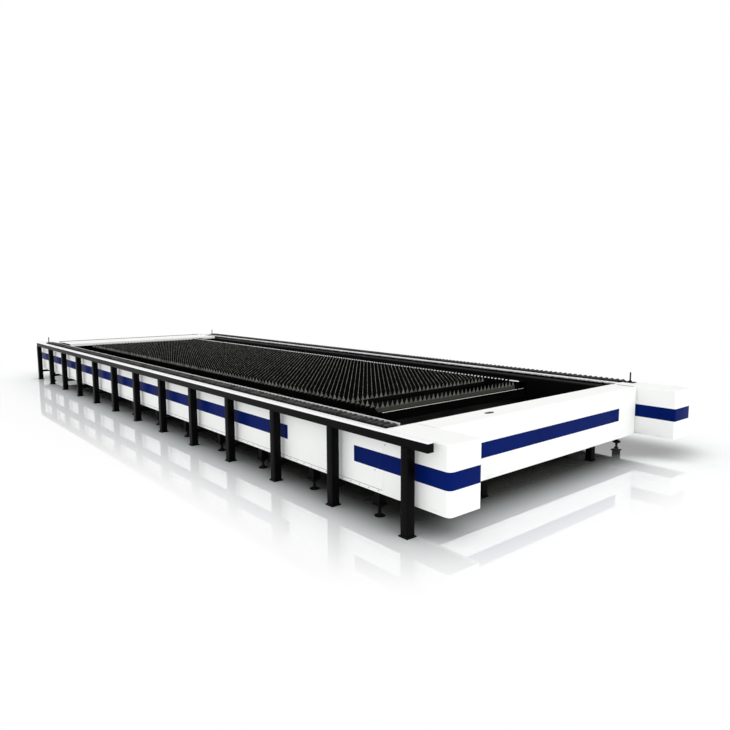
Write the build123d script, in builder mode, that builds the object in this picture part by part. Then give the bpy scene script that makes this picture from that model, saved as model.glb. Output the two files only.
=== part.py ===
"""Bed of a 12 m by 3 m sheet cutting machine: frame, covers, bellows, slat table and side rail."""
import os

from build123d import *

os.makedirs("parts", exist_ok=True)

# Bed over its end caps and across its side covers
BED_LENGTH = 15400.0
BED_WIDTH = 5040.0
COVER_BOTTOM = 275.0
COVER_TOP = 960.0
SHEET = 3.0
CUT_OVERRUN = 20.0

# End caps and the cross covers between them
CAP_WIDTH = 450.0
CAP_CORNER = 55.0
END_COVER_SETBACK = 540.0
END_COVER_DEPTH = 370.0
END_COVER_TOP_ROUND = 45.0
END_COVER_SIDE_ROUND = 60.0
END_COVER_SEAM = 2.0
END_COVER_GAP = 12.0
REAR_APRON_DEPTH = 740.0
REAR_APRON_HEM = 60.0
EDGE_TRIM_WIDTH = 18.0
EDGE_TRIM_HEIGHT = 12.0

# Side covers, folded at the top and the bottom
COVER_FLANGE = 38.0
HEM_CLEARANCE = 2.0
COVER_SEAM = 2.0

# Welded frame of the bed
BEAM_TOP = 900.0
BEAM_BOTTOM = 300.0
BEAM_WALL = 12.0
BEAM_CORNER = 20.0
BEAM_END_INSET = 80.0
CROSS_BEAM_WIDTH = 240.0
CROSS_BEAM_WALL = 10.0
CROSS_BEAM_INSET = 60.0
NOTCH_CLEARANCE = 2.0
MEMBER_WIDTH = 120.0
MEMBER_HEIGHT = 120.0
MEMBER_WALL = 8.0

# Legs under the beams and their levelling feet
LEG_SIZE = 90.0
LEG_WALL = 6.0
LEG_INSET = 60.0
FLANGE_SIZE = 120.0
FLANGE_THICKNESS = 12.0
FLANGE_BOTTOM = 125.0
END_LEG_OFFSET = 1165.0
STUD_DIAMETER = 36.0
STUD_CLEARANCE = 0.4
STUD_TOP = 240.0
STUD_SIDES = 8
PAD_DIAMETER = 118.0
PAD_EDGE = 12.0
PAD_HEIGHT = 22.0
PAD_NECK_DIAMETER = 62.0
PAD_SIDES = 12

# Side rail on its posts
RAIL_WIDTH = 80.0
RAIL_HEIGHT = 88.0
RAIL_TOP = 980.0
RAIL_WALL = 5.0
RAIL_GAP = 67.0
RAIL_NEAR_INSET = 140.0
STRIP_WIDTH = 80.0
STRIP_THICKNESS = 6.0
POST_SIZE = 100.0
POST_WALL = 5.0
POST_COUNT = 13
FIRST_POST = 300.0
LAST_POST_INSET = 800.0
BASE_SIZE = 126.0
BASE_THICKNESS = 12.0
ARM_SIZE = 50.0
ARM_WALL = 5.0
ARM_TOP = 250.0
ARM_REACH = 120.0

# Guides, racks and bellows on the beams
GUIDE_WIDTH = 45.0
GUIDE_HEIGHT = 40.0
GUIDE_WAIST = 30.0
GUIDE_HEAD = 18.0
GUIDE_FOOT = 14.0
RACK_SIZE = 40.0
GUIDE_RACK_SPACE = 30.0
BELLOWS_WIDTH = 190.0
BELLOWS_TOP = 990.0
BELLOWS_FOLDS = 72
FOLD_DEPTH = 24.0
BELLOWS_WALL = 20.0
BELLOWS_ROOF = 12.0
EDGE_STRIP_WIDTH = 18.0
EDGE_STRIP_HEIGHT = 36.0
EDGE_STRIP_GAP = 2.0

# Stop plates and pins at the bed's corners
STOP_LENGTH = 150.0
STOP_WIDTH = 120.0
STOP_THICKNESS = 8.0
STOP_EDGE = 15.0
STOP_CORNER = 8.0
PIN_DIAMETER = 22.0
PIN_HEIGHT = 146.0
PIN_CHAMFER = 3.0

# Pallet with its toothed slats
PALLET_NEAR_INSET = 2075.0
PALLET_FAR_INSET = 1700.0
PALLET_WIDTH = 3130.0
PALLET_TOP = 815.0
PALLET_HEIGHT = 125.0
PALLET_TUBE = 80.0
PALLET_WALL = 6.0
CROSS_BAR_COUNT = 11
CROSS_BAR_WIDTH = 60.0
CROSS_BAR_HEIGHT = 80.0
COMB_HEIGHT = 20.0
COMB_THICKNESS = 4.0
CHANNEL_WIDTH = 240.0
CHANNEL_HEIGHT = 116.0
CHANNEL_WALL = 5.0
SLAT_COUNT = 41
SLAT_THICKNESS = 5.0
SLAT_HEIGHT = 128.0
SLAT_END_INSET = 60.0
TOOTH_COUNT = 13
TOOTH_DEPTH = 77.0
TOOTH_LAND = 12.0

# Tracks and chutes under the pallet
TRACK_HEIGHT = 70.0
TRACK_WALL = 6.0
CHUTE_SHEET = 4.0
CHUTE_MOUTH = 600.0
CHUTE_DROP = 40.0
TRAY_CLEARANCE = 1.0

# Places that follow from the sizes above
CAP_LENGTH = END_COVER_SETBACK + END_COVER_DEPTH
COVER_HEIGHT = COVER_TOP - COVER_BOTTOM
COVER_HEM = LEG_INSET - LEG_SIZE / 2 - HEM_CLEARANCE
BEAM_WIDTH = CAP_WIDTH - 2 * SHEET
BEAM_HEIGHT = BEAM_TOP - BEAM_BOTTOM
BEAM_LENGTH = BED_LENGTH - 2 * BEAM_END_INSET
SIDE_COVER_LENGTH = BED_LENGTH - 2 * CAP_LENGTH - 2 * COVER_SEAM
BASE_OVERHANG = (BASE_SIZE - RAIL_WIDTH) / 2
BED_Y = (RAIL_GAP + RAIL_WIDTH + BASE_OVERHANG) / 2
MEMBER_TOP = BEAM_BOTTOM + MEMBER_HEIGHT
FLANGE_TOP = FLANGE_BOTTOM + FLANGE_THICKNESS
BELLOWS_LENGTH = BED_LENGTH - 2 * CAP_LENGTH - 2 * COVER_SEAM
BELLOWS_INSET = COVER_FLANGE + EDGE_STRIP_GAP + BELLOWS_WIDTH / 2
EDGE_STRIP_INSET = BELLOWS_INSET + (BELLOWS_WIDTH + EDGE_STRIP_WIDTH) / 2 + EDGE_STRIP_GAP
GUIDE_INSET = BELLOWS_INSET + (GUIDE_RACK_SPACE + RACK_SIZE) / 2
PALLET_BOTTOM = PALLET_TOP - PALLET_HEIGHT
PALLET_NEAR = BED_LENGTH / 2 - PALLET_NEAR_INSET
PALLET_LENGTH = BED_LENGTH - PALLET_NEAR_INSET - PALLET_FAR_INSET
PALLET_FAR = PALLET_NEAR - PALLET_LENGTH
PALLET_X = (PALLET_NEAR + PALLET_FAR) / 2
TRACK_BOTTOM = PALLET_BOTTOM - TRACK_HEIGHT
RAIL_BOTTOM = RAIL_TOP - STRIP_THICKNESS - RAIL_HEIGHT
RAIL_NEAR = BED_LENGTH / 2 - RAIL_NEAR_INSET
POST_PITCH = (RAIL_NEAR + BED_LENGTH / 2 - FIRST_POST - LAST_POST_INSET) / (POST_COUNT - 1)
POST_X = [RAIL_NEAR - FIRST_POST - i * POST_PITCH for i in range(POST_COUNT)]
LEG_X = [x - POST_PITCH / 2 for x in POST_X[:-1]]
RAIL_FAR = POST_X[-1] - POST_SIZE / 2
RAIL_LENGTH = RAIL_NEAR - RAIL_FAR
LEFT, RIGHT = -1, 1
NEAR, FAR = 1, -1
SIDE_NAMES = {LEFT: "left", RIGHT: "right"}
END_NAMES = {NEAR: "front", FAR: "rear"}


def across(side, inset):
    """Y of a place measured inwards from the outer face of a side cover."""
    return BED_Y + side * (BED_WIDTH / 2 - inset)


def along(end, inset):
    """X of a place measured inwards from the outer face of the end caps."""
    return end * (BED_LENGTH / 2 - inset)


def cross_beam_x(end):
    """X of a cross beam's middle, under the end cover."""
    return along(end, CAP_LENGTH - CROSS_BEAM_INSET - CROSS_BEAM_WIDTH / 2)


def plane_across(x, y, z):
    """Plane whose normal is +Y, for sections that run across the bed."""
    return Plane(origin=(x, y, z), x_dir=(1, 0, 0), z_dir=(0, 1, 0))


def tube_section(width, height, wall):
    """Rectangular hollow section, drawn in the sketch that is open."""
    Rectangle(width, height)
    Rectangle(width - 2 * wall, height - 2 * wall, mode=Mode.SUBTRACT)


def save(piece, name):
    """Label a finished piece and write its file."""
    piece.label = name
    export_step(piece, f"parts/{name}.step")


RAIL_Y = across(LEFT, -RAIL_GAP - RAIL_WIDTH / 2)

# Long beams of the bed
for side, side_name in SIDE_NAMES.items():
    with BuildPart() as bed_beam:
        with BuildSketch(Plane.YZ.offset(-BEAM_LENGTH / 2)):
            with Locations((across(side, CAP_WIDTH / 2), BEAM_BOTTOM + BEAM_HEIGHT / 2)):
                RectangleRounded(BEAM_WIDTH, BEAM_HEIGHT, BEAM_CORNER)
                Rectangle(BEAM_WIDTH - 2 * BEAM_WALL, BEAM_HEIGHT - 2 * BEAM_WALL, mode=Mode.SUBTRACT)
        extrude(amount=BEAM_LENGTH)
    save(bed_beam.part, f"{side_name}_bed_beam")

# Cross beams that stand between the end caps and carry the end covers
CROSS_BEAM_HEIGHT = COVER_TOP - SHEET - BEAM_BOTTOM
CROSS_BEAM_SPAN = BED_WIDTH - 2 * CAP_WIDTH
for end, end_name in END_NAMES.items():
    beam_middle = BEAM_BOTTOM + CROSS_BEAM_HEIGHT / 2
    with BuildPart() as cross_beam:
        with BuildSketch(plane_across(cross_beam_x(end), across(LEFT, CAP_WIDTH), beam_middle)):
            tube_section(CROSS_BEAM_WIDTH, CROSS_BEAM_HEIGHT, CROSS_BEAM_WALL)
        extrude(amount=CROSS_BEAM_SPAN)
    save(cross_beam.part, f"{end_name}_cross_beam")

# Cross members that tie the beams together over the legs
MEMBER_INSET = CAP_WIDTH - SHEET
with BuildPart() as bed_cross_members:
    for x in LEG_X:
        with BuildSketch(plane_across(x, across(LEFT, MEMBER_INSET), MEMBER_TOP - MEMBER_HEIGHT / 2)):
            tube_section(MEMBER_WIDTH, MEMBER_HEIGHT, MEMBER_WALL)
    extrude(amount=BED_WIDTH - 2 * MEMBER_INSET)
save(bed_cross_members.part, "bed_cross_members")

# Legs with flange plates, and fixed legs under the cross beams
LEG_PLACES = [(x, across(side, LEG_INSET)) for side in SIDE_NAMES for x in LEG_X]
END_LEG_PLACES = [(cross_beam_x(end), BED_Y + side * END_LEG_OFFSET) for end in END_NAMES for side in SIDE_NAMES]
with BuildPart() as bed_legs:
    with BuildSketch(Plane.XY.offset(FLANGE_TOP)):
        with Locations(*LEG_PLACES):
            tube_section(LEG_SIZE, LEG_SIZE, LEG_WALL)
    extrude(amount=BEAM_BOTTOM - FLANGE_TOP)
    with BuildSketch(Plane.XY.offset(FLANGE_BOTTOM)):
        with Locations(*LEG_PLACES):
            Rectangle(FLANGE_SIZE, FLANGE_SIZE)
            RegularPolygon(STUD_DIAMETER / 2 + STUD_CLEARANCE, STUD_SIDES, mode=Mode.SUBTRACT)
    extrude(amount=FLANGE_THICKNESS)
    with BuildSketch(Plane.XY.offset(FLANGE_THICKNESS)):
        with Locations(*END_LEG_PLACES):
            tube_section(LEG_SIZE, LEG_SIZE, LEG_WALL)
    extrude(amount=BEAM_BOTTOM - FLANGE_THICKNESS)
    with BuildSketch():
        with Locations(*END_LEG_PLACES):
            Rectangle(FLANGE_SIZE, FLANGE_SIZE)
    extrude(amount=FLANGE_THICKNESS)
save(bed_legs.part, "bed_legs")

# Levelling feet, a dished pad on a stud, one under each leg
with BuildPart() as foot:
    with BuildSketch():
        RegularPolygon(PAD_DIAMETER / 2, PAD_SIDES)
    extrude(amount=PAD_EDGE)
    with BuildSketch(Plane.XY.offset(PAD_EDGE)):
        RegularPolygon(PAD_DIAMETER / 2, PAD_SIDES)
    with BuildSketch(Plane.XY.offset(PAD_HEIGHT)):
        RegularPolygon(PAD_NECK_DIAMETER / 2, PAD_SIDES)
    loft()
    with BuildSketch(Plane.XY.offset(PAD_HEIGHT)):
        RegularPolygon(STUD_DIAMETER / 2, STUD_SIDES)
    extrude(amount=STUD_TOP - PAD_HEIGHT)
for side, side_name in SIDE_NAMES.items():
    for number, x in enumerate(LEG_X, start=1):
        with BuildPart() as levelling_foot:
            with Locations((x, across(side, LEG_INSET), 0)):
                add(foot.part)
        save(levelling_foot.part, f"{side_name}_levelling_foot_{number:02d}")

# Side covers with a top flange and a bottom hem
for side, side_name in SIDE_NAMES.items():
    with BuildPart() as side_cover:
        with BuildSketch(Plane.YZ.offset(-SIDE_COVER_LENGTH / 2)):
            with BuildLine():
                Polyline(
                    (across(side, 0), COVER_BOTTOM),
                    (across(side, 0), COVER_TOP),
                    (across(side, COVER_FLANGE), COVER_TOP),
                    (across(side, COVER_FLANGE), COVER_TOP - SHEET),
                    (across(side, SHEET), COVER_TOP - SHEET),
                    (across(side, SHEET), COVER_BOTTOM + SHEET),
                    (across(side, COVER_HEM), COVER_BOTTOM + SHEET),
                    (across(side, COVER_HEM), COVER_BOTTOM),
                    close=True,
                )
            make_face()
        extrude(amount=SIDE_COVER_LENGTH)
    save(side_cover.part, f"{side_name}_side_cover")

# End caps, open below and towards the bed, rounded at the rail side's outer corners
for end, end_name in END_NAMES.items():
    for side, side_name in SIDE_NAMES.items():
        with BuildPart() as end_cap:
            with BuildSketch(Plane.XY.offset(COVER_BOTTOM)):
                with Locations((along(end, CAP_LENGTH / 2), across(side, CAP_WIDTH / 2))):
                    Rectangle(CAP_LENGTH, CAP_WIDTH)
            extrude(amount=COVER_HEIGHT)
            if side == LEFT:
                outer_edges = end_cap.edges().filter_by(Axis.Z).group_by(Axis.Y)[0]
                fillet(outer_edges.sort_by(Axis.X)[-1 if end == NEAR else 0], CAP_CORNER)
            inner_end = end_cap.faces().filter_by(Axis.X).sort_by(Axis.X)[0 if end == NEAR else -1]
            underside = end_cap.faces().sort_by(Axis.Z)[0]
            offset(amount=-SHEET, openings=[inner_end, underside])
        save(end_cap.part, f"{end_name}_{side_name}_cap")

# Covers across the ends of the bed, their end walls notched round the cross beams. The rear one has an apron
# that reaches to the pallet
END_COVER_LEFT = across(LEFT, CAP_WIDTH + END_COVER_SEAM)
END_COVER_RIGHT = across(RIGHT, CAP_WIDTH + END_COVER_GAP)
END_COVER_SPAN = END_COVER_RIGHT - END_COVER_LEFT
for end, end_name in END_NAMES.items():
    cover_x = along(end, END_COVER_SETBACK + END_COVER_DEPTH / 2)
    with BuildPart() as end_cover:
        with BuildSketch(Plane.XY.offset(COVER_BOTTOM)):
            with Locations((cover_x, (END_COVER_LEFT + END_COVER_RIGHT) / 2)):
                Rectangle(END_COVER_DEPTH, END_COVER_SPAN)
        extrude(amount=COVER_HEIGHT)
        outer_face = end_cover.faces().filter_by(Axis.X).sort_by(Axis.X)[-1 if end == NEAR else 0]
        fillet(outer_face.edges().filter_by(Axis.Z).sort_by(Axis.Y)[-1], END_COVER_SIDE_ROUND)
        outer_face = end_cover.faces().filter_by(Axis.X).sort_by(Axis.X)[-1 if end == NEAR else 0]
        fillet(outer_face.edges().filter_by(Axis.Y).sort_by(Axis.Z)[-1], END_COVER_TOP_ROUND)
        inner_end = end_cover.faces().filter_by(Axis.X).sort_by(Axis.X)[0 if end == NEAR else -1]
        underside = end_cover.faces().sort_by(Axis.Z)[0]
        offset(amount=-SHEET, openings=[inner_end, underside])
        notch_top = COVER_TOP - SHEET
        notch_height = COVER_HEIGHT + CUT_OVERRUN
        notch_y = across(LEFT, CAP_WIDTH)
        with BuildSketch(plane_across(cross_beam_x(end), notch_y, notch_top - notch_height / 2)):
            Rectangle(CROSS_BEAM_WIDTH + 2 * NOTCH_CLEARANCE, notch_height)
        extrude(amount=CROSS_BEAM_SPAN, mode=Mode.SUBTRACT)
        if end == FAR:
            apron_far = along(FAR, CAP_LENGTH) - SHEET
            apron_near = along(FAR, CAP_LENGTH) + REAR_APRON_DEPTH
            with BuildSketch(plane_across(0, END_COVER_LEFT, COVER_TOP)):
                with BuildLine():
                    Polyline(
                        (apron_far, 0),
                        (apron_near, 0),
                        (apron_near, REAR_APRON_HEM),
                        (apron_near - SHEET, REAR_APRON_HEM),
                        (apron_near - SHEET, SHEET),
                        (apron_far, SHEET),
                        close=True,
                    )
                make_face()
            extrude(amount=END_COVER_SPAN)
    save(end_cover.part, f"{end_name}_cover")

# Sealing strip along the outer edge of the rear cover's top
with BuildPart() as rear_edge_trim:
    trim_x = along(FAR, END_COVER_SETBACK + END_COVER_TOP_ROUND + EDGE_TRIM_WIDTH)
    with BuildSketch(plane_across(trim_x, END_COVER_LEFT, COVER_TOP + EDGE_TRIM_HEIGHT / 2)):
        Rectangle(EDGE_TRIM_WIDTH, EDGE_TRIM_HEIGHT)
    extrude(amount=END_COVER_SPAN - END_COVER_SIDE_ROUND)
save(rear_edge_trim.part, "rear_edge_trim")

# Guide rails with a waist, one on each beam
with BuildPart() as guide_rails:
    with BuildSketch(Plane.YZ.offset(-BELLOWS_LENGTH / 2)):
        for side in SIDE_NAMES:
            rail_y = across(side, GUIDE_INSET)
            with BuildLine():
                half = Polyline(
                    (rail_y, BEAM_TOP),
                    (rail_y + GUIDE_WIDTH / 2, BEAM_TOP),
                    (rail_y + GUIDE_WIDTH / 2, BEAM_TOP + GUIDE_FOOT),
                    (rail_y + GUIDE_WAIST / 2, BEAM_TOP + GUIDE_HEIGHT - GUIDE_HEAD),
                    (rail_y + GUIDE_WIDTH / 2, BEAM_TOP + GUIDE_HEIGHT),
                    (rail_y, BEAM_TOP + GUIDE_HEIGHT),
                )
                mirror(half, about=Plane.YZ.offset(rail_y))
            make_face()
    extrude(amount=BELLOWS_LENGTH)
save(guide_rails.part, "guide_rails")

# Gear racks beside the guide rails
with BuildPart() as gear_racks:
    rack_inset = GUIDE_INSET - GUIDE_WIDTH / 2 - GUIDE_RACK_SPACE - RACK_SIZE / 2
    with BuildSketch(Plane.YZ.offset(-BELLOWS_LENGTH / 2)):
        with Locations(*[(across(side, rack_inset), BEAM_TOP + RACK_SIZE / 2) for side in SIDE_NAMES]):
            Rectangle(RACK_SIZE, RACK_SIZE)
    extrude(amount=BELLOWS_LENGTH)
save(gear_racks.part, "gear_racks")

# Pleated bellows that roof the guides over
FOLD_PITCH = BELLOWS_LENGTH / BELLOWS_FOLDS
TUNNEL_HEIGHT = BELLOWS_TOP - FOLD_DEPTH - BELLOWS_ROOF - BEAM_TOP
for side, side_name in SIDE_NAMES.items():
    crest_points = []
    for fold in range(BELLOWS_FOLDS):
        fold_x = -BELLOWS_LENGTH / 2 + fold * FOLD_PITCH
        crest_points.append((fold_x, BELLOWS_TOP - FOLD_DEPTH))
        crest_points.append((fold_x + FOLD_PITCH / 2, BELLOWS_TOP))
    crest_points.append((BELLOWS_LENGTH / 2, BELLOWS_TOP - FOLD_DEPTH))
    bellows_y = across(side, BELLOWS_INSET)
    with BuildPart() as bellows:
        with BuildSketch(Plane.XZ.offset(BELLOWS_WIDTH / 2 - bellows_y)):
            with BuildLine():
                Polyline(
                    (-BELLOWS_LENGTH / 2, BEAM_TOP),
                    *crest_points,
                    (BELLOWS_LENGTH / 2, BEAM_TOP),
                    close=True,
                )
            make_face()
        extrude(amount=-BELLOWS_WIDTH)
        with BuildSketch(Plane.YZ.offset(-BELLOWS_LENGTH / 2 - CUT_OVERRUN)):
            with Locations((bellows_y, BEAM_TOP + TUNNEL_HEIGHT / 2)):
                Rectangle(BELLOWS_WIDTH - 2 * BELLOWS_WALL, TUNNEL_HEIGHT)
        extrude(amount=BELLOWS_LENGTH + 2 * CUT_OVERRUN, mode=Mode.SUBTRACT)
    save(bellows.part, f"{side_name}_bellows")

# Bright strips along the inner edges of the beams, beside the bellows
with BuildPart() as bellows_edge_strips:
    with BuildSketch(Plane.YZ.offset(-BELLOWS_LENGTH / 2)):
        strip_z = BEAM_TOP + EDGE_STRIP_HEIGHT / 2
        with Locations(*[(across(side, EDGE_STRIP_INSET), strip_z) for side in SIDE_NAMES]):
            Rectangle(EDGE_STRIP_WIDTH, EDGE_STRIP_HEIGHT)
    extrude(amount=BELLOWS_LENGTH)
save(bellows_edge_strips.part, "bellows_edge_strips")

# Stop plates and pins on three of the caps
STOP_CORNERS = [(FAR, LEFT), (FAR, RIGHT), (NEAR, RIGHT)]
STOP_X_INSET = CAP_LENGTH - STOP_EDGE - STOP_LENGTH / 2
STOP_PLACES = [(along(end, STOP_X_INSET), across(side, BELLOWS_INSET)) for end, side in STOP_CORNERS]
with BuildPart() as stop_plates:
    with BuildSketch(Plane.XY.offset(COVER_TOP)):
        with Locations(*STOP_PLACES):
            RectangleRounded(STOP_LENGTH, STOP_WIDTH, STOP_CORNER)
    extrude(amount=STOP_THICKNESS)
save(stop_plates.part, "stop_plates")

with BuildPart() as stop_pins:
    with BuildSketch(Plane.XY.offset(COVER_TOP + STOP_THICKNESS)):
        with Locations(*STOP_PLACES):
            Circle(PIN_DIAMETER / 2)
    extrude(amount=PIN_HEIGHT)
    chamfer(stop_pins.edges().group_by(Axis.Z)[-1], PIN_CHAMFER)
save(stop_pins.part, "stop_pins")

# Pallet frame: two long tubes, two end bars and the bars between
PALLET_MIDDLE = PALLET_TOP - PALLET_HEIGHT / 2
PALLET_TUBE_Y = [BED_Y + side * (PALLET_WIDTH - PALLET_TUBE) / 2 for side in SIDE_NAMES]
with BuildPart() as pallet_side_tubes:
    with BuildSketch(Plane.YZ.offset(PALLET_FAR)):
        with Locations(*[(y, PALLET_MIDDLE) for y in PALLET_TUBE_Y]):
            tube_section(PALLET_TUBE, PALLET_HEIGHT, PALLET_WALL)
    extrude(amount=PALLET_LENGTH)
save(pallet_side_tubes.part, "pallet_side_tubes")

PALLET_INNER_LEFT = BED_Y - PALLET_WIDTH / 2 + PALLET_TUBE
PALLET_INNER_SPAN = PALLET_WIDTH - 2 * PALLET_TUBE
with BuildPart() as pallet_end_bars:
    for x in (PALLET_FAR + PALLET_TUBE / 2, PALLET_NEAR - PALLET_TUBE / 2):
        with BuildSketch(plane_across(x, PALLET_INNER_LEFT, PALLET_MIDDLE)):
            tube_section(PALLET_TUBE, PALLET_HEIGHT, PALLET_WALL)
    extrude(amount=PALLET_INNER_SPAN)
save(pallet_end_bars.part, "pallet_end_bars")

CROSS_BAR_PITCH = PALLET_LENGTH / (CROSS_BAR_COUNT + 1)
with BuildPart() as pallet_cross_bars:
    for bar in range(CROSS_BAR_COUNT):
        bar_x = PALLET_FAR + (bar + 1) * CROSS_BAR_PITCH
        with BuildSketch(plane_across(bar_x, PALLET_INNER_LEFT, PALLET_TOP - CROSS_BAR_HEIGHT / 2)):
            tube_section(CROSS_BAR_WIDTH, CROSS_BAR_HEIGHT, PALLET_WALL)
    extrude(amount=PALLET_INNER_SPAN)
save(pallet_cross_bars.part, "pallet_cross_bars")

# Folded channel along the right side of the pallet, open below
PALLET_LEFT = BED_Y - PALLET_WIDTH / 2
PALLET_RIGHT = BED_Y + PALLET_WIDTH / 2
CHANNEL_LEFT = PALLET_RIGHT - CHANNEL_WIDTH
CHANNEL_TOP = PALLET_TOP + CHANNEL_HEIGHT
with BuildPart() as pallet_side_channel:
    with BuildSketch(Plane.YZ.offset(PALLET_FAR)):
        with BuildLine():
            Polyline(
                (CHANNEL_LEFT, PALLET_TOP),
                (CHANNEL_LEFT, CHANNEL_TOP),
                (PALLET_RIGHT, CHANNEL_TOP),
                (PALLET_RIGHT, PALLET_TOP),
                (PALLET_RIGHT - CHANNEL_WALL, PALLET_TOP),
                (PALLET_RIGHT - CHANNEL_WALL, CHANNEL_TOP - CHANNEL_WALL),
                (CHANNEL_LEFT + CHANNEL_WALL, CHANNEL_TOP - CHANNEL_WALL),
                (CHANNEL_LEFT + CHANNEL_WALL, PALLET_TOP),
                close=True,
            )
        make_face()
    extrude(amount=PALLET_LENGTH)
save(pallet_side_channel.part, "pallet_side_channel")

# Strips that hold the ends of the slats
COMB_Y = [PALLET_LEFT + COMB_THICKNESS / 2, CHANNEL_LEFT - COMB_THICKNESS / 2]
with BuildPart() as slat_combs:
    with BuildSketch(Plane.YZ.offset(PALLET_FAR)):
        with Locations(*[(y, PALLET_TOP + COMB_HEIGHT / 2) for y in COMB_Y]):
            Rectangle(COMB_THICKNESS, COMB_HEIGHT)
    extrude(amount=PALLET_LENGTH)
save(slat_combs.part, "slat_combs")

# Toothed slats that stand across the pallet
SLAT_LENGTH = PALLET_WIDTH - CHANNEL_WIDTH - 2 * COMB_THICKNESS
TOOTH_PITCH = SLAT_LENGTH / TOOTH_COUNT
SLAT_LEFT = PALLET_LEFT + COMB_THICKNESS
SLAT_TIP = PALLET_TOP + SLAT_HEIGHT
tooth_points = []
for tooth in range(TOOTH_COUNT):
    tooth_y = SLAT_LEFT + tooth * TOOTH_PITCH
    tooth_points.append((tooth_y, SLAT_TIP - TOOTH_DEPTH))
    tooth_points.append((tooth_y + (TOOTH_PITCH - TOOTH_LAND) / 2, SLAT_TIP))
    tooth_points.append((tooth_y + (TOOTH_PITCH + TOOTH_LAND) / 2, SLAT_TIP))
tooth_points.append((SLAT_LEFT + SLAT_LENGTH, SLAT_TIP - TOOTH_DEPTH))
with BuildPart() as slat:
    with BuildSketch(Plane.YZ.offset(-SLAT_THICKNESS / 2)):
        with BuildLine():
            Polyline(
                (SLAT_LEFT, PALLET_TOP),
                *tooth_points,
                (SLAT_LEFT + SLAT_LENGTH, PALLET_TOP),
                close=True,
            )
        make_face()
    extrude(amount=SLAT_THICKNESS)
SLAT_PITCH = (PALLET_LENGTH - 2 * SLAT_END_INSET) / (SLAT_COUNT - 1)
with BuildPart() as support_slats:
    with Locations((PALLET_X, 0, 0)):
        with GridLocations(SLAT_PITCH, 0, SLAT_COUNT, 1):
            add(slat.part)
save(support_slats.part, "support_slats")

# Tracks that the pallet stands on and the stanchions under them
with BuildPart() as pallet_tracks:
    with BuildSketch(Plane.YZ.offset(PALLET_FAR)):
        with Locations(*[(y, TRACK_BOTTOM + TRACK_HEIGHT / 2) for y in PALLET_TUBE_Y]):
            tube_section(PALLET_TUBE, TRACK_HEIGHT, TRACK_WALL)
    extrude(amount=PALLET_LENGTH)
save(pallet_tracks.part, "pallet_tracks")

STANCHION_X = [x for x in LEG_X if PALLET_FAR + PALLET_TUBE / 2 < x < PALLET_NEAR - PALLET_TUBE / 2]
with BuildPart() as track_stanchions:
    with BuildSketch(Plane.XY.offset(MEMBER_TOP)):
        with Locations(*[(x, y) for x in STANCHION_X for y in PALLET_TUBE_Y]):
            tube_section(PALLET_TUBE, PALLET_TUBE, TRACK_WALL)
    extrude(amount=TRACK_BOTTOM - MEMBER_TOP)
save(track_stanchions.part, "track_stanchions")

# Sloping chutes between the tracks that lead scrap to the middle, and flat trays on the cross members
CHUTE_TOP = PALLET_BOTTOM - CHUTE_DROP
CHUTE_OUTER = PALLET_WIDTH / 2 - PALLET_TUBE
with BuildPart() as scrap_chutes:
    with BuildSketch(Plane.YZ.offset(PALLET_FAR)):
        for side in SIDE_NAMES:
            with BuildLine():
                Polyline(
                    (BED_Y + side * CHUTE_OUTER, CHUTE_TOP),
                    (BED_Y + side * CHUTE_MOUTH / 2, MEMBER_TOP + CHUTE_SHEET),
                    (BED_Y + side * CHUTE_MOUTH / 2, MEMBER_TOP),
                    (BED_Y + side * CHUTE_OUTER, CHUTE_TOP - CHUTE_SHEET),
                    close=True,
                )
            make_face()
    extrude(amount=PALLET_LENGTH)
    tray_reach = CROSS_BEAM_INSET + CAP_LENGTH
    with BuildSketch(Plane.XY.offset(MEMBER_TOP)):
        with Locations((0, BED_Y)):
            Rectangle(BED_LENGTH - 2 * tray_reach, BED_WIDTH - 2 * MEMBER_INSET - 2 * TRAY_CLEARANCE)
        with Locations((PALLET_X, BED_Y)):
            Rectangle(PALLET_LENGTH + 2 * TRAY_CLEARANCE, PALLET_WIDTH, mode=Mode.SUBTRACT)
            Rectangle(PALLET_LENGTH - 2 * TRAY_CLEARANCE, CHUTE_MOUTH - 2 * TRAY_CLEARANCE)
    extrude(amount=CHUTE_SHEET)
save(scrap_chutes.part, "scrap_chutes")

# Side rail with its running strip
with BuildPart() as side_rail:
    with BuildSketch(Plane.YZ.offset(RAIL_FAR)):
        with Locations((RAIL_Y, RAIL_BOTTOM + RAIL_HEIGHT / 2)):
            tube_section(RAIL_WIDTH, RAIL_HEIGHT, RAIL_WALL)
    extrude(amount=RAIL_LENGTH)
save(side_rail.part, "side_rail")

with BuildPart() as rail_running_strip:
    with BuildSketch(Plane.YZ.offset(RAIL_FAR)):
        with Locations((RAIL_Y, RAIL_TOP - STRIP_THICKNESS / 2)):
            Rectangle(STRIP_WIDTH, STRIP_THICKNESS)
    extrude(amount=RAIL_LENGTH)
save(rail_running_strip.part, "rail_running_strip")

# Posts, their base plates and the arms that tie all but the first to the bed
POST_PLACES = [(x, RAIL_Y) for x in POST_X]
with BuildPart() as rail_posts:
    with BuildSketch(Plane.XY.offset(BASE_THICKNESS)):
        with Locations(*POST_PLACES):
            tube_section(POST_SIZE, POST_SIZE, POST_WALL)
    extrude(amount=RAIL_BOTTOM - BASE_THICKNESS)
save(rail_posts.part, "rail_posts")

with BuildPart() as post_base_plates:
    with BuildSketch():
        with Locations(*POST_PLACES):
            Rectangle(BASE_SIZE, BASE_SIZE)
    extrude(amount=BASE_THICKNESS)
save(post_base_plates.part, "post_base_plates")

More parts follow.
